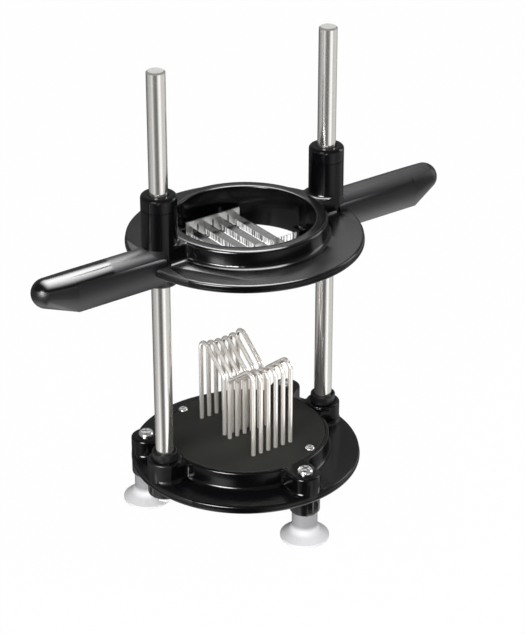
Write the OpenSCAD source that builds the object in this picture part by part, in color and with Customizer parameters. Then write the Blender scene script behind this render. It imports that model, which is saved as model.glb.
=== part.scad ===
// Two-rod fruit wedger: a flanged base with a cradle of wire fingers, and a handled
// carriage that slides down two rods and carries a blade cartridge over the fingers.
// Origin on the table, midway between the rods. +X along the rods' plane, -Y to the front.

/* [Frame] */
// Distance between the two guide rods
rod_span = 130; // [128:0.5:132]
// Guide rod diameter
rod_d = 12; // [10:0.5:13]
// Height of the rod tops above the table
rod_top = 321; // [300:1:350]
// Diameter of the base and carriage flanges
flange_d = 154; // [152:1:160]
// Thickness of both flanges
flange_t = 5; // [4.2:0.2:5.4]

/* [Base] */
// Height of the base flange's upper face
base_flange_z = 36; // [35:0.5:40]
// Height of the base drum above its flange
drum_h = 12.6; // [12:0.2:14]
// Outer radius of the base drum
drum_r = 56; // [55.5:0.1:56.5]
// Radius of the pusher plate
plate_r = 53.4; // [53:0.1:53.6]
// Thickness of the pusher plate's rim
plate_t = 3.1; // [2.6:0.1:3.4]
// Radius of the circle through the three feet
foot_circle_r = 66.8; // [66:0.1:67.6]
// Outer radius of a foot lug
lug_r = 10; // [9.6:0.1:10.4]

/* [Feet] */
// Radius of a suction cup's rim
cup_r = 16.2; // [15:0.1:17]
// Radius of a suction foot's neck
neck_r = 8.5; // [8:0.1:8.6]
// Height of the leg's lower end above the table
leg_z = 20.3; // [19:0.1:22]

/* [Wire fingers] */
// Wire diameter
wire_d = 3; // [2.4:0.1:3.2]
// Number of wire loops in each row
wires_per_row = 6; // [2:2:6]
// Distance between neighbouring wires
finger_pitch = 6; // [5.8:0.1:6.2]
// Distance of a loop's outer leg from the rods' plane
outer_leg_y = 30; // [28:0.5:31]
// Distance of a loop's inner leg from the rods' plane
inner_leg_y = 3; // [2.8:0.1:4]
// Height of the end loops' peak above the pusher plate
finger_h = 61; // [50:0.5:66]
// How much lower the middle loops are than the end loops
cradle_dip = 2; // [0:0.5:4]
// Slope of a loop's upper side
finger_slope = 38; // [30:1:42]

/* [Carriage] */
// Height of the handles' parting line at rest
carriage_z = 191.4; // [150:0.1:210]
// Height of the carriage flange's upper face above the parting line
flange_rise = 4.3; // [3.8:0.1:4.6]
// Inner radius of the carriage ring
ring_in_r = 45.5; // [45.2:0.1:46]
// Outer radius of the carriage ring
ring_out_r = 53.4; // [53:0.1:54]
// Height of the ring's top above the parting line
ring_rise = 16.2; // [14:0.2:18]
// Depth of the ring, sleeves and ledges below the parting line
ring_drop = 11.9; // [11.5:0.1:12.5]
// Radius of the guide sleeves and the rod sockets
sleeve_r = 11.5; // [11:0.1:12]
// Height of a sleeve's seam above the parting line
sleeve_rise = 39.1; // [30:0.1:42]
// Height of the cap on a sleeve
cap_h = 9.5; // [7:0.1:12]
// Reach of a handle's tip from the middle
handle_reach = 157; // [150:1:170]

/* [Blades] */
// Thickness of a blade
blade_t = 0.9; // [0.7:0.1:1]
// Number of slicing blades
blades = 4; // [2:2:4]
// Distance between neighbouring teeth
tooth_pitch = 2.5; // [2.5:2.5:5]
// Height of a tooth
tooth_h = 1.5; // [0.8:0.1:1.6]

/* [Hidden] */
$fn = 64;
rod_x = rod_span / 2;
rod_r = rod_d / 2;
flange_r = flange_d / 2;
edge_r = 1.4;
small_r = 0.8;
rim_lip = 0.4;
lip_drop = flange_t * 0.66;
flat_r = flange_r - rim_lip - edge_r - 0.4;
running_gap = 0.05;
seat_gap = 0.02;

// Base heights and radii
rim_z = base_flange_z + drum_h;
plate_top = rim_z + 0.3;
shoulder_z = plate_top - plate_t;
base_open_r = 46;
skirt_r = 52;
skirt_z = base_flange_z - 11;
plate_fit = 0.2;
arm_start = plate_r + plate_fit + 0.4;
cove_r = 3;
corner_r = 2;
blend = 0.05;
pad_r = base_open_r - 0.4;
pad_h = 6.1;
wire_depth = 8;

// Rod sockets in the base
socket_top = rim_z + 1.6;
socket_bottom = base_flange_z - 12;
rod_bottom = socket_bottom + 4;
bumper_r = 8.4;
bumper_seat = socket_top - 1;
bumper_h = 5.8;
bumper_top = socket_top + bumper_h;
rod_screw_r = 2.5;
rod_thread_depth = 16;
washer_r = 8;
washer_t = 1.2;
hex_r = 5.6;
hex_h = 4;

// Feet and their screws
foot_angles = [-90, 30, 150];
leg_recess = 5.7;
gusset_half_w = 5;
foot_screw_r = 2.5;
foot_hole_r = 2.7;
foot_head_r = 5.2;
foot_head_h = 3.4;
insert_r = 4;
insert_z = 11;
insert_h = 11;
cup_lip = 1.8;

// Plate screws
plate_screw_angle = 113.5;
plate_screw_circle_r = 49.6;
plate_screw_r = 1.9;
plate_head_r = 3.3;
plate_head_h = 2;
plate_screw_len = 10;

// Wire fingers
wire_r = wire_d / 2;
outer_bend_r = 5;
inner_bend_r = 4;
joint_bead = 0.03;
wire_foot_z = plate_top - wire_depth;
outer_turn = 90 + finger_slope;
inner_turn = 90 - finger_slope;

// Carriage heights and radii
ring_top = carriage_z + ring_rise;
ring_bottom = carriage_z - ring_drop;
ring_skirt_r = 49.5;
carriage_flange_z = carriage_z + flange_rise;
web_start = ring_in_r + 2;
web_top = ring_top - 0.6;
web_bottom = ring_bottom + 3;
sleeve_cove_r = 2.4;
seam_z = carriage_z + sleeve_rise;
cap_top = seam_z + cap_h;
liner_r = rod_r + 2;
seam_chamfer = 0.5;

// Handle section and nose
handle_bottom = carriage_z - 8.2;
handle_shoulder = carriage_z + 9.2;
handle_top = carriage_z + 14.2;
handle_start = rod_x + 2.6;
crown_half = 9.2;
handle_half_top = 12.3;
handle_half_middle = 12.5;
handle_half_bottom = 12;
shoulder_r = 3;
crown_steps = 24;
nose_fn = 40;
nose_x = handle_reach - 25.5;
nose_upper_r = 9.6;
nose_lower_r = 7;
nose_lower_rise = 12.4;
nose_lower_inset = 1.2;
handle_wall = 2.8;
pocket_count = 4;
pocket_start = rod_x + sleeve_r + 3.5;
pocket_end = handle_reach - 20;
handle_rib_t = 1.8;

// Blade cartridge
blade_pitch = 2 * finger_pitch;
blade_top = carriage_z - 0.6;
blade_tip = carriage_z - 9.6;
blade_root = blade_tip + tooth_h;
comb_y = 35.9;
comb_t = 1.2;
comb_half_w = 21.2;
comb_top = carriage_z + 2.6;
ledge_y = comb_y - 0.4;
ledge_top = ring_bottom + 2.5;
slot_gap = 0.1;
tab_bottom = ledge_top + comb_t + 1.2;
hook_bottom = ledge_top + comb_t + 0.6;
hook_y = comb_y + comb_t + 0.3;
tab_end = hook_y + 2;
toothed_half = 35;
comb_screw_x = 12;
comb_screw_y = 40.4;
comb_screw_r = 1.5;
comb_head_r = 2.9;
comb_head_h = 2;
comb_foot_r = ring_in_r - 0.3;

// Cross blade between the two rows of fingers
cross_top = carriage_z - 7.2;
cross_tip = carriage_z - 14.4;
cross_half = ring_in_r - 1;
cross_toothed_half = 37.5;
cross_notch_w = 1.5;
cross_notch_z = blade_tip - 0.4;
guide_reach = 4.5;
guide_half_w = 4;
guide_top = ring_bottom + 7;
pin_r = 1.25;
pin_inset = 1.7;

// Colours
black_plastic = "#17171a";
charcoal = "#3a3a38";
steel = "#c8c6c0";
bright_steel = "#dcdcda";
rubber = "#232325";
milky = "#e4e4e2";
brass = "#b08d4a";

sides = ["left", "right"];
foot_names = ["front", "right", "left"];
rows = ["front", "rear"];

function row_sign(row) = row == "front" ? -1 : 1;
function side_sign(side) = side == "left" ? -1 : 1;
function numbered(stem, n) = [for (i = [1 : n]) str(stem, "_", i)];

// Points along a circular arc
function arc(centre, r, from, to, steps = 12) =
    [for (i = [0 : steps]) let (a = from + (to - from) * i / steps) centre + r * [cos(a), sin(a)]];

function unit(v) = v / norm(v);

function short_turn(from, to) = (to - from + 540) % 360 - 180;

// One corner of an outline, rounded to radius r
function corner(before, at, after, r, steps) =
    let (
        u = unit(before - at),
        v = unit(after - at),
        half = acos(u * v) / 2,
        centre = at + unit(u + v) * r / sin(half),
        start = at + u * r / tan(half) - centre,
        stop = at + v * r / tan(half) - centre,
        from = atan2(start[1], start[0]),
        turn = short_turn(from, atan2(stop[1], stop[0]))
    )
    arc(centre, r, from, from + turn, steps);

// An outline given as [x, y] for a sharp corner or [x, y, r] for a rounded one
function rounded(points, steps = 5) =
    let (n = len(points), flat = [for (p = points) [p[0], p[1]]])
    [for (i = [0 : n - 1])
        each len(points[i]) == 2 ? [flat[i]]
            : corner(flat[(i + n - 1) % n], flat[i], flat[(i + 1) % n], points[i][2], steps)];

// Turned solid from an outline in radius and height
module turned(points) {
    rotate_extrude() polygon(rounded(points));
}

// Straight bar along +X with a section in Y and Z
module bar_x(from, to, points) {
    translate([from, 0, 0]) rotate([90, 0, 90]) linear_extrude(to - from) polygon(points);
}

// Sheet in the Y-Z plane, centred on x
module sheet_yz(x, t, points) {
    bar_x(x - t / 2, x + t / 2, points);
}

module bore(z0, z1, r) {
    translate([0, 0, z0]) cylinder(h = z1 - z0, r = r);
}

module at_feet() {
    for (a = foot_angles) rotate(a) translate([foot_circle_r, 0, 0]) children();
}

module at_rods() {
    for (side = sides) translate([side_sign(side) * rod_x, 0, 0]) children();
}

module both_sides() {
    for (m = [0, 1]) mirror([m, 0, 0]) children();
}

module front_and_rear() {
    for (m = [0, 1]) mirror([0, m, 0]) children();
}

// Screw pointing down from z = 0, with a domed head and a cross recess
module pan_screw(head_r, head_h, shank_r, length) {
    recess_w = head_r * 0.24;
    recess_l = head_r * 1.15;
    difference() {
        union() {
            turned([[0, 0], [head_r, 0, 0.2], [head_r, head_h, head_h * 0.7], [0, head_h]]);
            bore(-length, 0.1, shank_r);
        }
        for (a = [0, 90]) rotate(a)
            translate([-recess_l / 2, -recess_w / 2, head_h * 0.55]) cube([recess_l, recess_w, head_h]);
    }
}

// Section of a cove, the hollow fillet between an upright wall and a floor
module cove_section(wall, floor_z, r) {
    side = r + 0.5 - blend;
    difference() {
        translate([wall - 0.5, floor_z - 0.5]) square(side);
        translate([wall + r - blend, floor_z + r - blend]) circle(r);
    }
}

// Straight bar with a flat bottom and rounded upper edges
module rounded_bar(from, to, half_w, z0, z1, r) {
    bar_x(from, to, rounded([[-half_w, z0], [half_w, z0], [half_w, z1, r], [-half_w, z1, r]]));
}

// Upright fillet in the corner between a round wall and one side of a straight arm
module corner_fillet(wall_r, half_w, z0, z1) {
    y = half_w + corner_r - blend;
    x = sqrt((wall_r + corner_r - blend) ^ 2 - y ^ 2);
    on_wall = [x, y] * wall_r / norm([x, y]);
    inside = on_wall[0] - 0.5;
    translate([0, 0, z0]) linear_extrude(z1 - z0) difference() {
        polygon([[inside, half_w - 1], [x, half_w - 1], [x, y], on_wall, [inside, half_w]]);
        translate([x, y]) circle(corner_r);
    }
}

// Base

module base_shell() {
    turned([
        [base_open_r, skirt_z, small_r], [skirt_r, skirt_z, small_r],
        [skirt_r, base_flange_z - flange_t, small_r], [flange_r, base_flange_z - flange_t, small_r],
        [flange_r, base_flange_z - lip_drop], [flange_r - rim_lip, base_flange_z - lip_drop],
        [flange_r - rim_lip, base_flange_z, edge_r], [drum_r, base_flange_z],
        [drum_r, rim_z, edge_r], [plate_r + plate_fit, rim_z, 0.4],
        [plate_r + plate_fit, shoulder_z], [base_open_r, shoulder_z]
    ]);
    rotate_extrude() cove_section(drum_r, base_flange_z, cove_r);
}

// Arm from the drum to a round boss of radius boss_r, as wide as the boss
module arm(reach, boss_r, top) {
    half_w = boss_r - blend;
    rounded_bar(arm_start, reach, half_w, base_flange_z - 1, top, edge_r);
    front_and_rear() corner_fillet(drum_r, half_w, base_flange_z - 1, top - edge_r / 2);
    intersection() {
        union() {
            front_and_rear() translate([arm_start, 0, 0]) rotate([90, 0, 90])
                linear_extrude(reach - arm_start) cove_section(half_w, base_flange_z, cove_r);
            translate([reach, 0, 0]) rotate_extrude() cove_section(boss_r, base_flange_z, cove_r);
        }
        bore(base_flange_z - 1, rim_z, flat_r);
    }
}

// Lug with the leg under it, stiffened by a slanted gusset
module foot_lug() {
    arm(foot_circle_r, lug_r, rim_z);
    translate([foot_circle_r, 0, 0])
        turned([[0, leg_z], [lug_r, leg_z, edge_r], [lug_r, rim_z, edge_r], [0, rim_z]]);
    translate([0, gusset_half_w, 0]) rotate([90, 0, 0]) linear_extrude(2 * gusset_half_w) polygon([
        [skirt_r - 1, base_flange_z - 1], [skirt_r - 1, skirt_z],
        [foot_circle_r - lug_r + 1, leg_z + edge_r], [foot_circle_r - 1, leg_z + edge_r],
        [foot_circle_r - 1, base_flange_z - 1]
    ]);
}

module rod_socket() {
    arm(rod_x, sleeve_r, rim_z - 0.4);
    translate([rod_x, 0, 0])
        turned([[0, socket_bottom], [sleeve_r, socket_bottom, edge_r], [sleeve_r, socket_top, edge_r],
            [0, socket_top]]);
}

module base_housing() {
    color(black_plastic) difference() {
        union() {
            base_shell();
            for (a = foot_angles) rotate(a) foot_lug();
            both_sides() rod_socket();
        }
        at_rods() bore(bumper_seat, socket_top + 1, bumper_r + 0.4);
        at_rods() bore(rod_bottom, socket_top + 1, rod_r + seat_gap);
        at_rods() bore(socket_bottom - 1, rod_bottom + 1, rod_screw_r + 0.5);
        at_feet() bore(leg_z - 1, rim_z + 1, foot_hole_r);
        at_feet() bore(leg_z - 1, leg_z + leg_recess, neck_r + seat_gap);
        at_plate_screws() bore(shoulder_z - plate_screw_len, shoulder_z + 1, plate_screw_r);
    }
}

// Pusher plate with its wire fingers

module at_plate_screws() {
    for (a = [0, 180]) rotate(plate_screw_angle + a) translate([plate_screw_circle_r, 0, 0]) children();
}

function wire_x(i) = (i - (wires_per_row + 1) / 2) * finger_pitch;

module pusher_plate() {
    color(charcoal) difference() {
        turned([
            [0, shoulder_z - pad_h], [pad_r, shoulder_z - pad_h, 1], [pad_r, shoulder_z],
            [plate_r, shoulder_z, 0.3], [plate_r, plate_top, 0.5], [0, plate_top]
        ]);
        for (i = [1 : wires_per_row], s = [-1, 1], y = [inner_leg_y, outer_leg_y])
            translate([wire_x(i), s * y, 0]) bore(wire_foot_z, plate_top + 1, wire_r + seat_gap);
        at_plate_screws() bore(shoulder_z - 1, plate_top + 1, plate_screw_r + 0.2);
    }
}

module plate_screws() {
    color(bright_steel) at_plate_screws() translate([0, 0, plate_top])
        pan_screw(plate_head_r, plate_head_h, plate_screw_r, plate_screw_len);
}

module wire_bend(centre, r, from, turn) {
    translate(centre) rotate(from) rotate_extrude(angle = turn) translate([r, 0]) circle(wire_r);
}

module wire_run(start, stop) {
    along = stop - start;
    translate(start) rotate([0, 90, atan2(along[1], along[0])]) cylinder(h = norm(along), r = wire_r);
}

// One finger: outer leg, rounded peak, slope down to the middle, inner leg
module wire(row, i) {
    end_share = wires_per_row > 1 ? wire_x(i) / wire_x(wires_per_row) : 1;
    peak = plate_top + finger_h - cradle_dip * (1 - end_share ^ 2);
    outer_centre = [outer_leg_y - outer_bend_r, peak - wire_r - outer_bend_r];
    slope_start = outer_centre + outer_bend_r * [cos(outer_turn), sin(outer_turn)];
    inner_x = inner_leg_y + inner_bend_r;
    slope_stop_x = inner_x + inner_bend_r * cos(outer_turn);
    slope_stop = [slope_stop_x, slope_start[1] - (slope_start[0] - slope_stop_x) * tan(finger_slope)];
    inner_centre = [inner_x, slope_stop[1] - inner_bend_r * sin(outer_turn)];
    outer_leg_top = [outer_leg_y, outer_centre[1]];
    inner_leg_top = [inner_leg_y, inner_centre[1]];
    color(steel) translate([wire_x(i), 0, 0]) mirror([0, row_sign(row) < 0 ? 1 : 0, 0])
        rotate([90, 0, 90]) {
            wire_run([outer_leg_y, wire_foot_z], outer_leg_top);
            wire_bend(outer_centre, outer_bend_r, 0, outer_turn);
            wire_run(slope_start, slope_stop);
            wire_bend(inner_centre, inner_bend_r, outer_turn, inner_turn);
            wire_run(inner_leg_top, [inner_leg_y, wire_foot_z]);
            for (p = [outer_leg_top, slope_start, slope_stop, inner_leg_top])
                translate(p) sphere(wire_r + joint_bead);
        }
}

// Guide rods and what holds them

module guide_rod(side) {
    color(steel) translate([side_sign(side) * rod_x, 0, 0]) difference() {
        rotate_extrude() polygon([[0, rod_bottom], [rod_r, rod_bottom], [rod_r, rod_top - 1],
            [rod_r - 1, rod_top], [0, rod_top]]);
        bore(rod_bottom - 1, rod_bottom + rod_thread_depth, rod_screw_r);
    }
}

module rod_bumper(side) {
    inner = rod_r + running_gap;
    color(rubber) translate([side_sign(side) * rod_x, 0, 0])
        turned([[inner, bumper_seat], [bumper_r, bumper_seat], [bumper_r, bumper_top, small_r],
            [inner + 1, bumper_top], [inner, bumper_top - 1.4]]);
}

module rod_washers() {
    color(bright_steel) at_rods() difference() {
        bore(socket_bottom - washer_t, socket_bottom, washer_r);
        bore(socket_bottom - washer_t - 1, socket_bottom + 1, rod_screw_r);
    }
}

module rod_screws() {
    head_z = socket_bottom - washer_t;
    color(bright_steel) at_rods() {
        translate([0, 0, head_z - hex_h]) cylinder(h = hex_h, r = hex_r, $fn = 6);
        bore(head_z - 0.1, rod_bottom + rod_thread_depth - 2, rod_screw_r);
    }
}

// Suction feet

module suction_foot(i) {
    hollow_r = cup_r - 2;
    color(milky) rotate(foot_angles[i]) translate([foot_circle_r, 0, 0]) difference() {
        turned([
            [0, 3], [hollow_r * 0.55, 2.6, 3], [hollow_r, 0], [cup_r, 0, 0.3], [cup_r, cup_lip, 0.3],
            [neck_r + 1.6, 5.6, 5], [neck_r, 10.5, 5], [neck_r, leg_z + leg_recess], [0, leg_z + leg_recess]
        ]);
        bore(insert_z, leg_z + leg_recess + 1, insert_r);
    }
}

module foot_inserts() {
    color(brass) at_feet() difference() {
        bore(insert_z, insert_z + insert_h, insert_r);
        bore(insert_z + 2, insert_z + insert_h + 1, foot_screw_r);
    }
}

module foot_screws() {
    color(bright_steel) at_feet() translate([0, 0, rim_z])
        pan_screw(foot_head_r, foot_head_h, foot_screw_r, rim_z - insert_z - 3);
}

// Carriage

module carriage_ring() {
    turned([
        [ring_in_r, ring_bottom, small_r], [ring_skirt_r, ring_bottom, small_r],
        [ring_skirt_r, carriage_flange_z - flange_t, small_r],
        [flange_r, carriage_flange_z - flange_t, small_r],
        [flange_r, carriage_flange_z - lip_drop], [flange_r - rim_lip, carriage_flange_z - lip_drop],
        [flange_r - rim_lip, carriage_flange_z, edge_r], [ring_out_r, carriage_flange_z],
        [ring_out_r, ring_top, 2], [ring_in_r, ring_top, 1.2]
    ]);
    rotate_extrude() cove_section(ring_out_r, carriage_flange_z, cove_r);
}

// Sleeve for a rod, and its web to the ring with the ring's cove carried on along it
module sleeve() {
    half_w = sleeve_r - blend;
    translate([rod_x, 0, 0])
        turned([[0, ring_bottom], [sleeve_r, ring_bottom, edge_r], [sleeve_r, seam_z], [0, seam_z]]);
    rounded_bar(web_start, rod_x, half_w, web_bottom, web_top, edge_r);
    front_and_rear() corner_fillet(ring_out_r, half_w, carriage_flange_z - 1, web_top - edge_r / 2);
    front_and_rear() translate([web_start, 0, 0]) rotate([90, 0, 90])
        linear_extrude(rod_x - web_start) cove_section(half_w, carriage_flange_z, cove_r);
    intersection() {
        translate([rod_x, 0, 0]) rotate_extrude() cove_section(sleeve_r, web_top, sleeve_cove_r);
        translate([web_start, -half_w, web_bottom])
            cube([rod_x - web_start, 2 * half_w, seam_z - web_bottom]);
    }
}

// Handle section: drafted sides, rounded shoulders, and a narrower crowned top
function handle_section() =
    let (
        crown_h = handle_top - handle_shoulder,
        crown_r = (crown_half ^ 2 + crown_h ^ 2) / (2 * crown_h),
        lift = asin((crown_r - crown_h) / crown_r),
        shoulder = corner([handle_half_middle, carriage_z], [handle_half_top, handle_shoulder],
            [crown_half, handle_shoulder], shoulder_r, 6),
        far_shoulder = [for (i = [len(shoulder) - 1 : -1 : 0]) [-shoulder[i][0], shoulder[i][1]]]
    )
    concat(
        [[-handle_half_bottom, handle_bottom], [handle_half_bottom, handle_bottom]],
        [[handle_half_middle, carriage_z]],
        shoulder,
        arc([0, handle_top - crown_r], crown_r, lift, 180 - lift, crown_steps),
        far_shoulder,
        [[-handle_half_middle, carriage_z]]
    );

module handle() {
    bar_x(handle_start, nose_x, handle_section());
    hull() {
        bar_x(nose_x, nose_x + 0.01, handle_section());
        translate([handle_reach - nose_upper_r, 0, handle_top - nose_upper_r])
            sphere(nose_upper_r, $fn = nose_fn);
        translate([handle_reach - nose_lower_inset - nose_lower_r, 0, handle_bottom + nose_lower_rise])
            sphere(nose_lower_r, $fn = nose_fn);
    }
}

// Moulding pockets under a handle, parted by thin ribs
module handle_pockets() {
    step = (pocket_end - pocket_start + handle_rib_t) / pocket_count;
    half = handle_half_bottom - handle_wall;
    roof = handle_shoulder - 0.5;
    for (i = [0 : pocket_count - 1])
        bar_x(pocket_start + i * step, pocket_start + (i + 1) * step - handle_rib_t,
            rounded([[-half - 0.4, handle_bottom - 1], [half + 0.4, handle_bottom - 1],
                [half, roof, 4], [-half, roof, 4]]));
}

// Ledges that carry the comb plates
module comb_ledge() {
    translate([0, 0, ring_bottom]) linear_extrude(ledge_top - ring_bottom) intersection() {
        circle(ring_in_r + 1.5);
        translate([-ring_in_r, ledge_y]) square([2 * ring_in_r, ring_in_r]);
    }
}

// Guide on the ring's wall with a slot for the end of the cross blade
module cross_guide() {
    translate([ring_in_r - guide_reach, -guide_half_w, ring_bottom])
        cube([guide_reach + 1.5, 2 * guide_half_w, guide_top - ring_bottom]);
}

module at_cross_pins() {
    both_sides() translate([cross_half - pin_inset, 0, (cross_top + ring_bottom) / 2])
        rotate([90, 0, 0]) children();
}

module carriage_housing() {
    slot_half_t = blade_t / 2 + seat_gap;
    color(black_plastic) difference() {
        union() {
            carriage_ring();
            front_and_rear() comb_ledge();
            both_sides() cross_guide();
            both_sides() sleeve();
            both_sides() handle();
        }
        at_rods() bore(ring_bottom - 1, seam_z + 1, liner_r + seat_gap);
        both_sides() handle_pockets();
        both_sides() translate([ring_in_r - guide_reach - 1, -slot_half_t, ring_bottom - 1])
            cube([cross_half + seat_gap - ring_in_r + guide_reach + 1, 2 * slot_half_t,
                cross_top + seat_gap - ring_bottom + 1]);
        at_cross_pins() cylinder(h = 2 * guide_half_w + 1, r = pin_r, center = true);
        at_comb_screws() bore(ring_bottom - 1, ledge_top + 1, comb_screw_r);
    }
}

// Guide bush: a liner the length of the sleeve under a cap that carries on the sleeve's outline
module guide_bush(side) {
    bore_r = rod_r + running_gap;
    color(black_plastic) translate([side_sign(side) * rod_x, 0, 0])
        turned([
            [bore_r, ring_bottom], [liner_r, ring_bottom], [liner_r, seam_z],
            [sleeve_r - seam_chamfer, seam_z], [sleeve_r, seam_z + seam_chamfer],
            [sleeve_r, cap_top, 2.2], [bore_r + 0.8, cap_top], [bore_r, cap_top - 0.8]
        ]);
}

// Blade cartridge

function blade_x(i) = (i - (blades + 1) / 2) * blade_pitch;

module at_comb_screws() {
    front_and_rear() both_sides() translate([comb_screw_x, comb_screw_y, 0]) children();
}

// Angle plate with a slot at every finger gap
module comb_plate(row) {
    slots = wires_per_row / 2;
    slot_half_t = blade_t / 2 + slot_gap;
    color(steel) mirror([0, row_sign(row) < 0 ? 1 : 0, 0]) difference() {
        union() {
            translate([-comb_half_w, comb_y, ledge_top])
                cube([2 * comb_half_w, comb_t, comb_top - ledge_top]);
            translate([0, 0, ledge_top]) linear_extrude(comb_t) intersection() {
                circle(comb_foot_r);
                translate([-comb_half_w, comb_y]) square([2 * comb_half_w, ring_in_r]);
            }
        }
        for (i = [-slots : slots])
            translate([i * finger_pitch - slot_half_t, comb_y - 1, hook_bottom - slot_gap])
                cube([2 * slot_half_t, comb_t + 2, blade_top - hook_bottom + 2 * slot_gap]);
        for (s = [-1, 1]) translate([s * comb_screw_x, comb_screw_y, 0])
            bore(ledge_top - 1, ledge_top + comb_t + 1, comb_screw_r + 0.1);
    }
}

// Points of a row of teeth from -half to half, tips at tip_z
function teeth(half, tip_z) =
    let (n = round(2 * half / tooth_pitch))
    [for (i = [0 : n - 1]) each [
        [-half + i * tooth_pitch, tip_z + tooth_h],
        [-half + (i + 0.5) * tooth_pitch, tip_z]
    ]];

// Slicing blade with a toothed lower edge and hooked tabs that pass through both combs
module blade(i) {
    body_end = comb_y - 0.2;
    half_tab = [
        [body_end, blade_root], [body_end, tab_bottom], [hook_y, tab_bottom], [hook_y, hook_bottom],
        [tab_end, hook_bottom], [tab_end, blade_top]
    ];
    far_tab = [for (k = [len(half_tab) - 1 : -1 : 0]) [-half_tab[k][0], half_tab[k][1]]];
    color(bright_steel) sheet_yz(blade_x(i), blade_t,
        concat(teeth(toothed_half, blade_tip), [[toothed_half, blade_root]], half_tab, far_tab));
}

// Long blade across the others, halved into their lower edges
module cross_blade() {
    color(bright_steel) difference() {
        rotate(-90) sheet_yz(0, blade_t, concat(
            teeth(cross_toothed_half, cross_tip),
            [[cross_toothed_half, cross_tip + tooth_h], [cross_half, ring_bottom],
                [cross_half, cross_top], [-cross_half, cross_top], [-cross_half, ring_bottom]]));
        for (i = [1 : blades])
            translate([blade_x(i) - cross_notch_w / 2, -1, cross_notch_z]) cube([cross_notch_w, 2, 10]);
        at_cross_pins() cylinder(h = 2, r = pin_r, center = true);
    }
}

module comb_screws() {
    color(bright_steel) at_comb_screws() translate([0, 0, ledge_top + comb_t])
        pan_screw(comb_head_r, comb_head_h, comb_screw_r, ledge_top + comb_t - ring_bottom);
}

module cross_blade_pins() {
    color(bright_steel) at_cross_pins() cylinder(h = 2 * guide_half_w, r = pin_r, center = true);
}

base_housing();
pusher_plate();
plate_screws();
for (row = rows, i = [1 : wires_per_row])
    wire(row, i);
for (side = sides)
    guide_rod(side);
for (side = sides)
    rod_bumper(side);
rod_screws();
rod_washers();
for (i = [0 : 2])
    suction_foot(i);
foot_inserts();
foot_screws();
carriage_housing();
for (side = sides)
    guide_bush(side);
for (row = rows)
    comb_plate(row);
for (i = [1 : blades])
    blade(i);
cross_blade();
comb_screws();
cross_blade_pins();
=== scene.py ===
"""Looks of the two-rod lemon wedger: softened housings, finishes, studio and camera.

Metres, +Z up, origin on the table midway between the rods.
"""
import math

import bmesh
import bpy
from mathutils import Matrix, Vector

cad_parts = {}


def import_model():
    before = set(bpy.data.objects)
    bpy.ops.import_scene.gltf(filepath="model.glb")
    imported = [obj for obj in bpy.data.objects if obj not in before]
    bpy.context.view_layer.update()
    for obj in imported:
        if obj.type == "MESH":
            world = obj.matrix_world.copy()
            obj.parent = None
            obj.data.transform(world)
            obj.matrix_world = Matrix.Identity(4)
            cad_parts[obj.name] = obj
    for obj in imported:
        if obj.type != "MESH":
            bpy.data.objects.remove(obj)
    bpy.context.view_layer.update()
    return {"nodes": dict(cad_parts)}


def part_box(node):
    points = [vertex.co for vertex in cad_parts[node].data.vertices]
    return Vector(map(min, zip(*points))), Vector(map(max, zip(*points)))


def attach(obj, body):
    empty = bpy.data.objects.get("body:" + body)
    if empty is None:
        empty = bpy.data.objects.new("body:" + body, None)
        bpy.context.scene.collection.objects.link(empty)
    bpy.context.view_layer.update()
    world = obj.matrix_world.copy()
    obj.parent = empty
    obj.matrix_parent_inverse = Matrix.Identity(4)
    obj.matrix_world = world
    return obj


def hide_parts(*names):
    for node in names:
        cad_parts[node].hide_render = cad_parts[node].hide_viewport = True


MM = 0.001

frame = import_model()
nodes = frame["nodes"]

# Camera, as the photograph shows the object
VIEW_AZIMUTH = math.radians(-35.8)
VIEW_ELEVATION = math.radians(27.8)
VIEW_DISTANCE = 1.4306
VIEW_TARGET = Vector((0.0136, 0.0, 0.130))
VIEW_LENS = 123.5

# Satin faces of the flanges and of the ring's rim
BASE_FLANGE_TOP = 0.036
CARRIAGE_FLANGE_TOP = 0.1957
SATIN_FROM_RADIUS = 0.0574
RING_TOP = 0.2076

# Handles: where they start, their heights, and where the left one's polished crown starts
HANDLE_FROM_X = 0.0675
HANDLE_BOTTOM = 0.1832
HANDLE_CREASE = 0.2006
HANDLE_TOP = 0.2056
POLISH_FROM_X = 0.104

# Curves that the handles shade by: round crown, shoulder, slightly convex side, bullet nose
CROWN_AXIS = 0.19464
SHOULDER_AXIS = Vector((0.0, 0.0093, 0.1976))
SIDE_FROM_Y = 0.0115
SIDE_SLOPES = (-0.42, 0.2)
NOSE_FROM_X = 0.1315
NOSE_CENTRE = Vector((0.1474, 0.0, 0.196))

# Limits of a face's normal: an underside, a flat end, a face that runs along the handle
FACES_DOWN = -0.5
FACES_OUT = 0.98
RUNS_ALONG = 0.02

# Blades, ground up to a height over their tips, and the suction cups
BLADE_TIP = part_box("blade_1")[0].z
GROUND_HEIGHT = 0.0045
CUP_TOP = 0.0095

# How much rougher the satin of the level faces and of the handles is than the gloss
TOP_SATIN = 0.06
HANDLE_SATIN = 0.24

# Upward part of a normal from which a face counts as level, and the middle range that noise keeps to
LEVEL_RANGE = (0.9, 0.99)
NOISE_RANGE = (0.3, 0.7)

# Softening of the mouldings
EDGE_WIDTH = 0.35 * MM
EDGE_SEGMENTS = 2
WELD_DISTANCE = 0.002 * MM
FLAT_ANGLE = math.radians(1.0)
SHARP_ANGLE = math.radians(35)
SLACK = 0.1 * MM

# Floor paper
FLOOR_SIZE = 6.0
FLOOR_LEVEL = -0.2 * MM
FLOOR_WHITE = 0.985

# Sockets of a Mix node: its share, its two values, its two colours and the mixed colour
SHARE = 0
VALUE_A, VALUE_B = 2, 3
COLOUR_A, COLOUR_B = 6, 7
COLOUR_RESULT = 2


# Node trees

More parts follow.
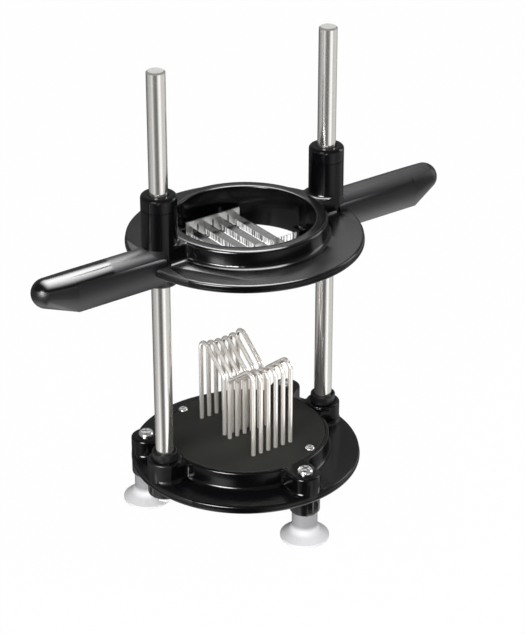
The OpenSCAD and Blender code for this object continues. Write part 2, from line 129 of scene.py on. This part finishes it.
def add(tree, kind, values=None, **settings):
    """A node of that kind, with its settings and its unlinked inputs filled in."""
    made = tree.nodes.new(kind)
    for name, value in settings.items():
        setattr(made, name, value)
    for name, value in (values or {}).items():
        made.inputs[name].default_value = value
    return made


def math_node(tree, operation, first, second=None):
    """One Math node; a number fills an input and a socket is linked to it."""
    made = add(tree, "ShaderNodeMath", operation=operation)
    for place, value in enumerate((first, second)):
        if isinstance(value, (int, float)):
            made.inputs[place].default_value = value
        elif value is not None:
            tree.links.new(value, made.inputs[place])
    return made.outputs[0]


def remap(tree, value, low, high, to_low=0.0, to_high=1.0, smooth=False):
    """The value from low..high carried to to_low..to_high and held there."""
    made = add(
        tree, "ShaderNodeMapRange",
        {"From Min": low, "From Max": high, "To Min": to_low, "To Max": to_high},
        interpolation_type="SMOOTHSTEP" if smooth else "LINEAR",
    )
    tree.links.new(value, made.inputs["Value"])
    return made.outputs["Result"]


def past(tree, value, edge, blend, smooth=False):
    """0 below an edge and 1 above it, blended over a width to each side."""
    return remap(tree, value, edge - blend, edge + blend, smooth=smooth)


def before(tree, value, edge, blend):
    """1 below an edge and 0 above it, blended over a width to each side."""
    return remap(tree, value, edge - blend, edge + blend, 1.0, 0.0)


def mix_colour(tree, share, first, second):
    """Two colours mixed by a mask."""
    made = add(tree, "ShaderNodeMix", data_type="RGBA")
    for place, value in ((COLOUR_A, first), (COLOUR_B, second)):
        made.inputs[place].default_value = (*value, 1.0)
    tree.links.new(share, made.inputs[SHARE])
    return made.outputs[COLOUR_RESULT]


def mix_shader(tree, share, first, second):
    """Two shader nodes mixed by a mask."""
    made = add(tree, "ShaderNodeMixShader")
    for place, source in enumerate((share, first.outputs[0], second.outputs[0])):
        tree.links.new(source, made.inputs[place])
    return made


def bump(tree, height, distance, strength):
    """A Bump node's normal from a height of 0 to 1."""
    made = add(tree, "ShaderNodeBump", {"Strength": strength, "Distance": distance})
    tree.links.new(height, made.inputs["Height"])
    return made.outputs["Normal"]


def object_place(tree):
    """X, Y and Z of the surface in the part's own frame."""
    where = add(tree, "ShaderNodeTexCoord")
    split = add(tree, "ShaderNodeSeparateXYZ")
    tree.links.new(where.outputs["Object"], split.inputs[0])
    return split.outputs


def group_tree(name, inputs, outputs):
    """An empty shader node group with named float sockets."""
    tree = bpy.data.node_groups.new(name, "ShaderNodeTree")
    for socket, value in inputs.items():
        made = tree.interface.new_socket(socket, in_out="INPUT", socket_type="NodeSocketFloat")
        made.default_value = value
    for socket in outputs:
        tree.interface.new_socket(socket, in_out="OUTPUT", socket_type="NodeSocketFloat")
    return tree, add(tree, "NodeGroupInput"), add(tree, "NodeGroupOutput")


def make_moulded_grain():
    """Fine spark-eroded grain of a moulding, and the slow cloudiness of its gloss."""
    tree, given, result = group_tree(
        "moulded_grain", {"Grain Scale": 4000.0, "Cloud Scale": 60.0}, ("Grain", "Cloud"))
    where = add(tree, "ShaderNodeTexCoord")
    for source, target, detail in (("Grain Scale", "Grain", 2.0), ("Cloud Scale", "Cloud", 4.0)):
        noise = add(tree, "ShaderNodeTexNoise", {"Detail": detail, "Roughness": 0.6})
        tree.links.new(where.outputs["Object"], noise.inputs["Vector"])
        tree.links.new(given.outputs[source], noise.inputs["Scale"])
        tree.links.new(remap(tree, noise.outputs[0], *NOISE_RANGE), result.inputs[target])
    return tree


def make_drawn_lines():
    """Fine parallel lines of ground or drawn metal; the scales set the direction they run in."""
    tree, given, result = group_tree(
        "drawn_lines", {"Across X": 3000.0, "Across Y": 3000.0, "Along Z": 20.0}, ("Fine", "Broad"))
    where = add(tree, "ShaderNodeTexCoord")
    scale = add(tree, "ShaderNodeCombineXYZ")
    for place, source in enumerate(("Across X", "Across Y", "Along Z")):
        tree.links.new(given.outputs[source], scale.inputs[place])
    stretched = add(tree, "ShaderNodeVectorMath", operation="MULTIPLY")
    tree.links.new(where.outputs["Object"], stretched.inputs[0])
    tree.links.new(scale.outputs[0], stretched.inputs[1])
    for target, size in (("Fine", 1.0), ("Broad", 0.12)):
        noise = add(tree, "ShaderNodeTexNoise", {"Scale": size, "Detail": 3.0, "Roughness": 0.65})
        tree.links.new(stretched.outputs[0], noise.inputs["Vector"])
        tree.links.new(remap(tree, noise.outputs[0], *NOISE_RANGE), result.inputs[target])
    return tree


MOULDED_GRAIN = make_moulded_grain()
DRAWN_LINES = make_drawn_lines()


def place_group(tree, group, values):
    """One use of a shared effect with its own values."""
    return add(tree, "ShaderNodeGroup", values, node_tree=group).outputs


def new_finish(name, **sockets):
    """A material with only its Principled shader, whose plain values are given."""
    made = bpy.data.materials.new(name)
    made.use_nodes = True
    shader = made.node_tree.nodes["Principled BSDF"]
    for socket, value in sockets.items():
        shader.inputs[socket.replace("_", " ")].default_value = value
    return made, made.node_tree, shader


def feed(tree, shader, sources):
    """Links a shader's named inputs to what varies over the surface."""
    for socket, source in sources.items():
        tree.links.new(source, shader.inputs[socket])


# Finishes

def near_height(tree, z, height):
    """1 where z is within a millimetre of a height, else 0."""
    away = math_node(tree, "ABSOLUTE", math_node(tree, "SUBTRACT", z, height))
    return before(tree, away, MM, 0.2 * MM)


def satin_top(tree, place):
    """1 on the level upper faces of the flanges and of the ring's rim, else 0."""
    facing = add(tree, "ShaderNodeNewGeometry")
    up = add(tree, "ShaderNodeSeparateXYZ")
    tree.links.new(facing.outputs["True Normal"], up.inputs[0])
    level = remap(tree, up.outputs["Z"], *LEVEL_RANGE)
    squares = [math_node(tree, "POWER", place[axis], 2.0) for axis in ("X", "Y")]
    radius = math_node(tree, "SQRT", math_node(tree, "ADD", *squares))
    outside = past(tree, radius, SATIN_FROM_RADIUS, 0.6 * MM)
    at_flange = math_node(tree, "ADD", near_height(tree, place["Z"], BASE_FLANGE_TOP),
                          near_height(tree, place["Z"], CARRIAGE_FLANGE_TOP))
    flange = math_node(tree, "MULTIPLY", math_node(tree, "MULTIPLY", outside, level), at_flange)
    ring = math_node(tree, "MULTIPLY", level, near_height(tree, place["Z"], RING_TOP))
    return math_node(tree, "MAXIMUM", flange, ring)


def satin_handle(tree, place):
    """1 on the handles, apart from the polished crown of the left one, else 0."""
    sideways = math_node(tree, "ABSOLUTE", place["X"])
    on_handle = past(tree, sideways, HANDLE_FROM_X + 0.2 * MM, 0.2 * MM)
    under_crown = before(tree, place["Z"], HANDLE_CREASE, 0.2 * MM)
    unpolished = past(tree, place["X"], -POLISH_FROM_X, 1.2 * MM)
    below_sleeve = before(tree, place["Z"], HANDLE_TOP + 0.2 * MM, 0.1 * MM)
    crown = math_node(tree, "MULTIPLY", unpolished, below_sleeve)
    return math_node(tree, "MULTIPLY", on_handle, math_node(tree, "MAXIMUM", under_crown, crown))


def black_plastic(name):
    """Glossy black moulding, satin and a little greyer on the flanges, the ring and the handles."""
    made, tree, shader = new_finish(name, Specular_IOR_Level=0.2, IOR=1.5)
    place = object_place(tree)
    top = satin_top(tree, place)
    handle = satin_handle(tree, place)
    satin = math_node(tree, "MAXIMUM", top, handle)
    grain = place_group(tree, MOULDED_GRAIN, {"Grain Scale": 2600.0, "Cloud Scale": 45.0})
    gloss = remap(tree, grain["Cloud"], 0.0, 1.0, 0.13, 0.17)
    duller = math_node(tree, "MAXIMUM", math_node(tree, "MULTIPLY", top, TOP_SATIN),
                       math_node(tree, "MULTIPLY", handle, HANDLE_SATIN))
    feed(tree, shader, {
        "Base Color": mix_colour(tree, satin, (0.0022, 0.0022, 0.0028), (0.0055, 0.0055, 0.007)),
        "Roughness": math_node(tree, "ADD", gloss, duller),
        "Normal": bump(tree, grain["Grain"], 0.02 * MM, 0.06),
    })
    return made


def grained(name, dark, light, rough, scales, specular, depth, strength):
    """Dull moulded or sheet material with a fine grain; rough is its range of roughness."""
    made, tree, shader = new_finish(name, Specular_IOR_Level=specular)
    grain = place_group(tree, MOULDED_GRAIN, scales)
    feed(tree, shader, {
        "Base Color": mix_colour(tree, grain["Cloud"], dark, light),
        "Roughness": remap(tree, grain["Grain"], 0.0, 1.0, *rough),
        "Normal": bump(tree, grain["Grain"], depth, strength),
    })
    return made


def metal(name, dark, light, rough, lines, metallic=1.0, line_depth=0.004 * MM):
    """Metal with fine lines; rough is the roughness of its smooth and of its brushed lines."""
    made, tree, shader = new_finish(name, Metallic=metallic)
    drawn = place_group(tree, DRAWN_LINES, lines)
    feed(tree, shader, {
        "Base Color": mix_colour(tree, drawn["Broad"], dark, light),
        "Roughness": remap(tree, drawn["Fine"], 0.0, 1.0, *rough),
        "Normal": bump(tree, drawn["Fine"], line_depth, 0.5),
    })
    return made


def blade_steel(name):
    """Bright blade sheet with the upright grinding marks of its toothed half; the upper half is darker,
    partly its plainer finish and partly painted shade near the comb.
    """
    made, tree, shader = new_finish(name)
    place = object_place(tree)
    ground = before(tree, place["Z"], BLADE_TIP + GROUND_HEIGHT, 0.3 * MM)
    marks = place_group(tree, DRAWN_LINES, {"Across X": 1100.0, "Across Y": 1100.0, "Along Z": 40.0})
    cut = math_node(tree, "MULTIPLY", remap(tree, marks["Fine"], 0.42, 0.62), ground)
    # The unground upper half is darker: partly its plainer finish, partly painted shade near the comb
    sheet = mix_colour(tree, ground, (0.72, 0.72, 0.71), (0.93, 0.93, 0.92))
    scored = add(tree, "ShaderNodeMix", {COLOUR_B: (0.08, 0.08, 0.08, 1.0)}, data_type="RGBA")
    tree.links.new(cut, scored.inputs[SHARE])
    tree.links.new(sheet, scored.inputs[COLOUR_A])
    feed(tree, shader, {
        "Base Color": scored.outputs[COLOUR_RESULT],
        "Metallic": remap(tree, ground, 0.0, 1.0, 1.0, 0.35),
        "Roughness": remap(tree, ground, 0.0, 1.0, 0.2, 0.5),
        "Normal": bump(tree, cut, 0.06 * MM, 0.8),
    })
    return made


def milky_rubber(name):
    """Milky soft plastic of the suction feet; the neck is greyer, partly where the insert shows through
    and partly painted shade under the flange.
    """
    made, tree, shader = new_finish(name, Specular_IOR_Level=0.2)
    place = object_place(tree)
    grain = place_group(tree, MOULDED_GRAIN, {"Grain Scale": 1500.0, "Cloud Scale": 120.0})
    neck = past(tree, place["Z"], CUP_TOP, 2 * MM, smooth=True)
    clouded = math_node(tree, "MULTIPLY", grain["Cloud"], 0.08)
    # Greyer neck: painted shade under the flange, plus the insert showing through the milky plastic
    neck_shade_and_insert = math_node(tree, "SUBTRACT", neck, clouded)
    feed(tree, shader, {
        "Base Color": mix_colour(tree, neck_shade_and_insert, (0.66, 0.66, 0.67), (0.25, 0.25, 0.26)),
        "Roughness": remap(tree, grain["Grain"], 0.0, 1.0, 0.32, 0.44),
        "Normal": bump(tree, grain["Grain"], 0.03 * MM, 0.15),
    })
    return made


BLACK = black_plastic("black_moulding")
CHARCOAL = grained("charcoal_plate", (0.034, 0.034, 0.031), (0.040, 0.040, 0.037), (0.5, 0.66),
                   {"Grain Scale": 2200.0, "Cloud Scale": 30.0},
                   specular=0.05, depth=0.04 * MM, strength=0.35)
RUBBER = grained("stop_ring_rubber", (0.005, 0.005, 0.0055), (0.009, 0.009, 0.0095), (0.28, 0.4),
                 {"Grain Scale": 3000.0, "Cloud Scale": 90.0},
                 specular=0.3, depth=0.03 * MM, strength=0.2)
MILKY = milky_rubber("milky_foot")
ROD_STEEL = metal("ground_rod_steel", (0.70, 0.685, 0.65), (0.84, 0.825, 0.79), (0.10, 0.18),
                  {"Across X": 1000.0, "Across Y": 1000.0, "Along Z": 8.0},
                  metallic=0.94, line_depth=0.0015 * MM)
WIRE_STEEL = metal("drawn_wire_steel", (0.87, 0.83, 0.775), (0.96, 0.92, 0.865), (0.18, 0.24),
                   {"Across X": 1200.0, "Across Y": 1200.0, "Along Z": 40.0}, metallic=0.72)
# Comb steel darker than bare stainless: painted shade of the ring bowl around it
SHADED_COMB_STEEL = metal("comb_steel_painted_shade", (0.42, 0.42, 0.41), (0.50, 0.50, 0.49), (0.26, 0.4),
                   {"Across X": 60.0, "Across Y": 2600.0, "Along Z": 2600.0})
SCREW_STEEL = metal("plated_screw_steel", (0.62, 0.62, 0.61), (0.78, 0.78, 0.77), (0.12, 0.24),
                    {"Across X": 1800.0, "Across Y": 1800.0, "Along Z": 1800.0})
BRASS = metal("turned_brass", (0.55, 0.40, 0.17), (0.70, 0.53, 0.26), (0.2, 0.32),
              {"Across X": 300.0, "Across Y": 300.0, "Along Z": 3000.0})
BLADE_STEEL = blade_steel("ground_blade_steel")

WIRES = [f"wire_{row}_{i}" for row in ("front", "rear") for i in range(1, 7)]
BLADES = [f"blade_{i}" for i in range(1, 5)] + ["cross_blade"]
COMBS = [f"{row}_comb_plate" for row in ("front", "rear")]
RODS = [f"{side}_guide_rod" for side in ("left", "right")]
BRIGHT_ENDS = RODS + ["plate_screws", "foot_screws"]
FEET = [f"{name}_suction_foot" for name in ("front", "right", "left")]
FINISH_OF = {
    "base_housing": BLACK,
    "carriage_housing": BLACK,
    "pusher_plate": CHARCOAL,
    "foot_inserts": BRASS,
    **{f"{side}_guide_bush": BLACK for side in ("left", "right")},
    **{f"{side}_rod_bumper": RUBBER for side in ("left", "right")},
    **{rod: ROD_STEEL for rod in RODS},
    **{comb: SHADED_COMB_STEEL for comb in COMBS},
    **{screws: SCREW_STEEL for screws in (
        "plate_screws", "rod_screws", "rod_washers", "foot_screws", "comb_screws", "cross_blade_pins")},
    **{wire: WIRE_STEEL for wire in WIRES},
    **{blade: BLADE_STEEL for blade in BLADES},
    **{foot: MILKY for foot in FEET},
}
for node, finish in FINISH_OF.items():
    for place in nodes[node].material_slots:
        place.material = finish


# Softened housings

def softened(node, body):
    """A copy of a moulding with its triangles joined, its sharp edges rounded and its curves smooth."""
    shape = bmesh.new()
    shape.from_mesh(nodes[node].data)
    bmesh.ops.remove_doubles(shape, verts=shape.verts, dist=WELD_DISTANCE)
    bmesh.ops.dissolve_limit(shape, angle_limit=FLAT_ANGLE, verts=shape.verts, edges=shape.edges)
    mesh = bpy.data.meshes.new(node + "_softened")
    shape.to_mesh(mesh)
    shape.free()
    mesh.shade_smooth()
    mesh.set_sharp_from_angle(angle=SHARP_ANGLE)
    mesh.materials.clear()
    mesh.materials.append(FINISH_OF[node])
    piece = bpy.data.objects.new(node + "_softened", mesh)
    bpy.context.scene.collection.objects.link(piece)
    rounding = piece.modifiers.new("rounded edges", "BEVEL")
    rounding.width = EDGE_WIDTH
    rounding.segments = EDGE_SEGMENTS
    rounding.limit_method = "ANGLE"
    rounding.angle_limit = SHARP_ANGLE
    rounding.harden_normals = True
    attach(piece, body)
    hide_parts(node)
    return piece


def side_slope(z):
    """How much a handle's slightly convex side faces up, or down below its middle."""
    share = (z - HANDLE_BOTTOM) / (HANDLE_CREASE - HANDLE_BOTTOM)
    return SIDE_SLOPES[0] + share * (SIDE_SLOPES[1] - SIDE_SLOPES[0])


def side_normal(point):
    """Direction in which a handle's side faces at a point."""
    return Vector((0.0, math.copysign(1.0, point.y), side_slope(point.z))).normalized()


def crown_normal(point):
    """Direction in which a handle's round top faces at a point."""
    return Vector((0.0, point.y, point.z - CROWN_AXIS)).normalized()


def shoulder_normal(point):
    """Direction in which a handle's shoulder faces at a point; it flattens out towards the nose."""
    share = (NOSE_FROM_X - abs(point.x)) / (NOSE_FROM_X - HANDLE_FROM_X)
    rounded = Vector((0.0, point.y - math.copysign(SHOULDER_AXIS.y, point.y), point.z - SHOULDER_AXIS.z))
    return side_normal(point).lerp(rounded.normalized(), share ** 2).normalized()


def nose_normal(point):
    """Direction in which a bullet-shaped handle end faces at a point."""
    beyond = abs(point.x) - NOSE_CENTRE.x
    share = min(max(1.0 + beyond / (NOSE_CENTRE.x - NOSE_FROM_X), 0.0), 1.0)
    rise = point.z - CROWN_AXIS - share * (NOSE_CENTRE.z - CROWN_AXIS)
    if rise < 0.0:
        rise = rise * share + side_slope(point.z) * abs(point.y) * (1.0 - share)
    return Vector((math.copysign(max(beyond, 0.0), point.x), point.y, rise)).normalized()


def handle_curve(face, corners):
    """The curve by which a face of a handle shades, or None for a face that keeps its own normals."""
    nearest = min(abs(p.x) for p in corners)
    endways = abs(face.normal.x)
    if nearest > NOSE_FROM_X - SLACK and face.normal.z > FACES_DOWN and endways < FACES_OUT:
        return nose_normal
    if nearest <= HANDLE_FROM_X or endways >= RUNS_ALONG:
        return None
    lowest = min(p.z for p in corners)
    if lowest > HANDLE_CREASE - SLACK:
        return crown_normal
    if lowest > SHOULDER_AXIS.z - SLACK:
        return shoulder_normal
    if min(abs(p.y) for p in corners) > SIDE_FROM_Y:
        return side_normal
    return None


def smooth_handles(piece):
    """Lets the handles' sides and ends shade as smooth curves in spite of their flat facets."""
    bpy.context.view_layer.update()
    shown = piece.evaluated_get(bpy.context.evaluated_depsgraph_get())
    mesh = bpy.data.meshes.new_from_object(shown)
    normals = [corner.vector.copy() for corner in mesh.corner_normals]
    for face in mesh.polygons:
        corners = [mesh.vertices[v].co for v in face.vertices]
        bend = handle_curve(face, corners)
        if bend is None:
            continue
        for loop, point in zip(face.loop_indices, corners):
            normals[loop] = bend(point)
    piece.modifiers.clear()
    piece.data = mesh
    mesh.normals_split_custom_set(normals)


base = softened("base_housing", "base")
carriage = softened("carriage_housing", "carriage")
smooth_handles(carriage)


def light_set(name, pieces):
    """A collection of pieces that a light is linked to."""
    made = bpy.data.collections.new(name)
    for piece in pieces:
        made.objects.link(piece)
    return made


def bare_pieces():
    """A collection for lights that leave the black mouldings out."""
    made = light_set("bare_pieces", (base, carriage))
    for member in made.collection_objects:
        member.light_linking.link_state = "EXCLUDE"
    return made


MOULDING_GLOSS = light_set("moulding_gloss", (base, carriage))
CARRIAGE_GLOSS = light_set("carriage_gloss", (carriage,))
BARE_PIECES = bare_pieces()


# Studio

def plane(name, width, depth, centre, material):
    """A flat sheet facing up."""
    shape = bmesh.new()
    bmesh.ops.create_grid(shape, x_segments=1, y_segments=1, size=0.5)
    bmesh.ops.scale(shape, vec=(width, depth, 1), verts=shape.verts)
    bmesh.ops.translate(shape, vec=centre, verts=shape.verts)
    mesh = bpy.data.meshes.new(name)
    shape.to_mesh(mesh)
    shape.free()
    mesh.materials.append(material)
    sheet = bpy.data.objects.new(name, mesh)
    bpy.context.scene.collection.objects.link(sheet)


def floor_paper():
    """White paper with a faint shadow, clear from below and to gloss, which sees the studio instead."""
    made = bpy.data.materials.new("floor_paper")
    made.use_nodes = True
    tree = made.node_tree
    tree.nodes.remove(tree.nodes["Principled BSDF"])
    ray = add(tree, "ShaderNodeLightPath")
    matt = add(tree, "ShaderNodeBsdfDiffuse", {"Color": (0.9, 0.9, 0.9, 1.0)})
    white = add(tree, "ShaderNodeEmission", {"Strength": 1.0})
    clear = add(tree, "ShaderNodeBsdfTransparent")
    seen = math_node(tree, "MULTIPLY", ray.outputs["Is Camera Ray"], FLOOR_WHITE)
    facing = add(tree, "ShaderNodeNewGeometry")
    unseen = math_node(tree, "MAXIMUM", ray.outputs["Is Glossy Ray"], facing.outputs["Backfacing"])
    paper = mix_shader(tree, unseen, mix_shader(tree, seen, matt, white), clear)
    tree.links.new(paper.outputs[0], tree.nodes["Material Output"].inputs["Surface"])
    return made


plane("floor", FLOOR_SIZE, FLOOR_SIZE, (0, 0, FLOOR_LEVEL), floor_paper())


# Brightness of the surround low down, by degrees to the right of the camera
SURROUND = (
    (-180, 0.1), (-135, 0.16), (-110, 0.4), (-80, 0.65), (-60, 0.75), (-46, 1.2), (-36, 0.9),
    (-26, 0.35), (-12, 0.1), (0, 0.1), (12, 0.2), (20, 0.65), (30, 1.3), (46, 1.65), (57, 1.45),
    (64, 0.9), (110, 0.95), (150, 0.5), (180, 0.14),
)
# Brightness above the ring of panels, and the band over which one turns into the other
SURROUND_ABOVE = 0.42
HORIZON_BAND = 0.12
# The surround brightens steeply downwards, as a white table does
TABLE_BAND = (-0.9, -0.5)
TABLE_GAIN = 8.0
# Even light from all round on matt finishes
FILL = 0.5
# Height of the level cards over the table
CARD_HEIGHT = 0.8


def surround_strength(tree):
    """How bright the studio is in a direction: a ring of panels low down, one plain level above."""
    where = add(tree, "ShaderNodeTexCoord")
    toward_camera = Vector((math.sin(VIEW_AZIMUTH), -math.cos(VIEW_AZIMUTH), 0.0))
    to_right = Vector((math.cos(VIEW_AZIMUTH), math.sin(VIEW_AZIMUTH), 0.0))
    parts = []
    for axis in (to_right, toward_camera, Vector((0, 0, 1))):
        dot = add(tree, "ShaderNodeVectorMath", operation="DOT_PRODUCT")
        dot.inputs[1].default_value = axis
        tree.links.new(where.outputs["Generated"], dot.inputs[0])
        parts.append(dot.outputs["Value"])
    turn = math_node(tree, "ARCTAN2", parts[0], parts[1])
    ramp = add(tree, "ShaderNodeValToRGB")
    stops = ramp.color_ramp.elements
    while len(stops) < len(SURROUND):
        stops.new(0.5)
    for stop, (degrees, level) in zip(stops, SURROUND):
        stop.position = (degrees + 180) / 360
        stop.color = (level, level, level, 1.0)
    tree.links.new(remap(tree, turn, -math.pi, math.pi), ramp.inputs[0])
    above = past(tree, parts[2], 0.0, HORIZON_BAND, smooth=True)
    table = remap(tree, parts[2], *TABLE_BAND, TABLE_GAIN, 1.0)
    mixed = add(tree, "ShaderNodeMix", {VALUE_B: SURROUND_ABOVE})
    tree.links.new(above, mixed.inputs[SHARE])
    tree.links.new(math_node(tree, "MULTIPLY", ramp.outputs["Color"], table), mixed.inputs[VALUE_A])
    return mixed.outputs[0]


def studio_world():
    """White to the camera; to the gloss of the part, a ring of bright and grey panels."""
    world = bpy.data.worlds.new("studio")
    world.use_nodes = True
    tree = world.node_tree
    tree.nodes.clear()
    ray = add(tree, "ShaderNodeLightPath")
    gloss = add(tree, "ShaderNodeBackground")
    tree.links.new(surround_strength(tree), gloss.inputs["Strength"])
    fill = add(tree, "ShaderNodeBackground", {"Strength": FILL})
    white = add(tree, "ShaderNodeBackground", {"Color": (1.0, 1.0, 1.0, 1.0), "Strength": 1.0})
    lit = mix_shader(tree, ray.outputs["Is Glossy Ray"], fill, gloss)
    seen = math_node(tree, "MAXIMUM", ray.outputs["Is Camera Ray"], ray.outputs["Is Transmission Ray"])
    shown = mix_shader(tree, seen, lit, white)
    result = add(tree, "ShaderNodeOutputWorld")
    tree.links.new(shown.outputs[0], result.inputs["Surface"])
    return world


bpy.context.scene.world = studio_world()


def softbox(name, place, aim, width, depth, power, shape="ELLIPSE", receivers=None):
    """A softbox aimed at a point, lighting the whole part or only a set of pieces."""
    lamp = bpy.data.lights.new(name, "AREA")
    lamp.shape = shape
    lamp.size = width
    lamp.size_y = depth
    lamp.energy = power
    holder = bpy.data.objects.new(name, lamp)
    holder.location = place
    holder.rotation_euler = (Vector(aim) - Vector(place)).to_track_quat("-Z", "Y").to_euler()
    holder.light_linking.receiver_collection = receivers
    bpy.context.scene.collection.objects.link(holder)
    return holder


def fade_edges(lamp, fades):
    """Fades an area light out at its left, right, near and far edge, each over a share of its size."""
    lamp.use_nodes = True
    tree = lamp.node_tree
    where = add(tree, "ShaderNodeNewGeometry")
    split = add(tree, "ShaderNodeSeparateXYZ")
    tree.links.new(where.outputs["Parametric"], split.inputs[0])
    strength = 1.0
    for axis, low, high in (("X", fades[0], fades[1]), ("Y", fades[2], fades[3])):
        rising = remap(tree, split.outputs[axis], 0.0, low, smooth=True)
        falling = remap(tree, split.outputs[axis], 1.0 - high, 1.0, 1.0, 0.0, smooth=True)
        strength = math_node(tree, "MULTIPLY", math_node(tree, "MULTIPLY", rising, falling), strength)
    tree.links.new(strength, tree.nodes["Emission"].inputs["Strength"])


def gloss_card(name, place, aim, width, depth, radiance, fades, receivers):
    """A card that only the gloss of a set of mouldings shows."""
    power = radiance * math.pi * width * depth
    card = softbox(name, place, aim, width, depth, power, "RECTANGLE", receivers)
    fade_edges(card.data, fades)
    card.visible_diffuse = False
    card.visible_camera = False


def level_card(name, low, high, radiance, fades, receivers):
    """A level card over the part, between two corners."""
    centre = ((low[0] + high[0]) / 2, (low[1] + high[1]) / 2)
    gloss_card(name, (*centre, CARD_HEIGHT), (*centre, 0.0), high[0] - low[0], high[1] - low[1],
               radiance, fades, receivers)


# Cards for the streaks, ends and edges of the mouldings, three of them for the carriage alone
EVEN_FADE = (0.1, 0.1, 0.1, 0.1)
level_card("streak_card", (-0.42, -0.65), (0.32, 0.8), 46.0, (0.6, 0.1, 0.5, 0.5), CARRIAGE_GLOSS)
level_card("streak_top_card", (-0.2, 0.1), (0.36, 0.9), 20.0, (0.5, 0.1, 0.5, 0.5), CARRIAGE_GLOSS)
level_card("right_card", (0.45, -0.8), (1.1, 0.8), 0.55, EVEN_FADE, MOULDING_GLOSS)
gloss_card("nose_card", (-1.1, -0.5, 0.6), (-0.15, 0.0, 0.2), 0.9, 0.6, 110.0, (0.45, 0.45, 0.45, 0.45),
           MOULDING_GLOSS)
gloss_card("ring_card", (0.53, 0.55, 0.69), (0.53, 0.0, 0.69), 0.42, 0.35, 1.2, EVEN_FADE, CARRIAGE_GLOSS)

# Softboxes for the bare pieces, the bright ends, the blades and the whole part
softbox("front_softbox", (-0.9, -1.25, 0.34), (0.0, 0.0, 0.1), 0.8, 0.5, 15.0, receivers=BARE_PIECES)
softbox("end_softbox", (0.66, 1.0, 0.97), (0.0, 0.0, 0.3), 0.9, 0.6, 0.7,
        receivers=light_set("bright_ends", [nodes[piece] for piece in BRIGHT_ENDS]))
softbox("blade_softbox", (-0.7, -0.9, 1.0), (0.0, 0.0, 0.19), 0.4, 0.4, 26.0,
        receivers=light_set("blade_pieces", [nodes[blade] for blade in BLADES]))
softbox("left_softbox", (-1.1, -0.5, 0.6), (0.0, 0.0, 0.15), 0.7, 0.9, 8.0)
softbox("right_softbox", (1.1, -0.3, 0.5), (0.0, 0.0, 0.15), 0.5, 0.9, 5.0)

# Camera
camera = bpy.data.objects.new("camera", bpy.data.cameras.new("camera"))
camera.data.lens = VIEW_LENS
back = Vector((math.sin(VIEW_AZIMUTH) * math.cos(VIEW_ELEVATION),
               -math.cos(VIEW_AZIMUTH) * math.cos(VIEW_ELEVATION),
               math.sin(VIEW_ELEVATION)))
camera.location = VIEW_TARGET + back * VIEW_DISTANCE
camera.rotation_euler = (-back).to_track_quat("-Z", "Y").to_euler()
camera.data.clip_start = 0.05
camera.data.clip_end = 20.0
bpy.context.scene.collection.objects.link(camera)
bpy.context.scene.camera = camera
bpy.context.scene.view_settings.view_transform = "Standard"

bpy.context.view_layer.update()
